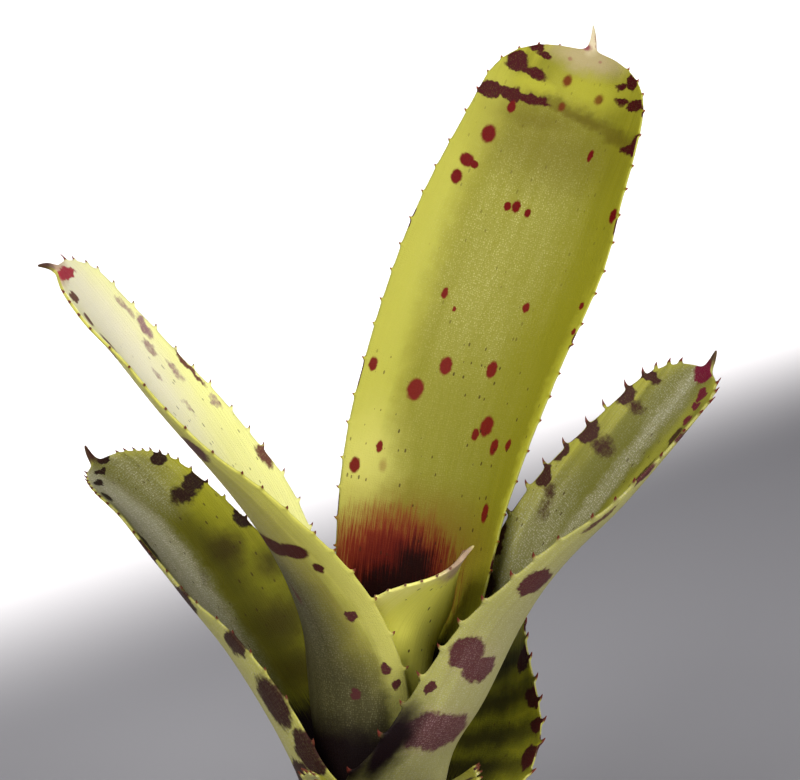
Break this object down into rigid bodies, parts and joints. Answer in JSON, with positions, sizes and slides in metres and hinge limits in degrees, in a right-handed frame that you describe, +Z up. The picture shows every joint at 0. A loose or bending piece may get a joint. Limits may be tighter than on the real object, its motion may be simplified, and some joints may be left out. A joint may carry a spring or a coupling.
{
  "type": "neoregelia bromeliad",
  "caption": "Potless rosette of broad, spotted strap leaves with spiny margins and hooked points, clasping each other round a short stem with wiry roots; stands on its flat cut base.",
  "frame": {"origin": "the middle of the plant's box, on the flat surface that its cut stem stands on", "axes": "+Z up along the stem, +X to the viewer's right, -Y towards the viewer of the picture"},
  "size_m": [0.1064, 0.1122, 0.1475],
  "materials": {
    "heart_leaf": "satin yellow-green with a glossy inner leaf's sheen",
    "tall_leaf": "satin yellow-green with red-brown spots",
    "left_upper_leaf": "satin pale yellow-green with purple-brown blotches",
    "right_leaf": "satin green under a grey bloom, with brown blotches",
    "left_lower_leaf": "satin green under a grey bloom, with purple blotches",
    "front_leaf": "satin olive green with brown blotches",
    "back_leaf": "satin olive green with dark bands",
    "stem": "matt brown, fibrous"
  },
  "bodies": {
    "root": {"stem": "stem", "heart_leaf": "heart_leaf", "tall_leaf": "tall_leaf", "left_upper_leaf": "left_upper_leaf", "right_leaf": "right_leaf", "left_lower_leaf": "left_lower_leaf", "front_leaf": "front_leaf", "back_leaf": "back_leaf"}
  },
  "joints": []
}
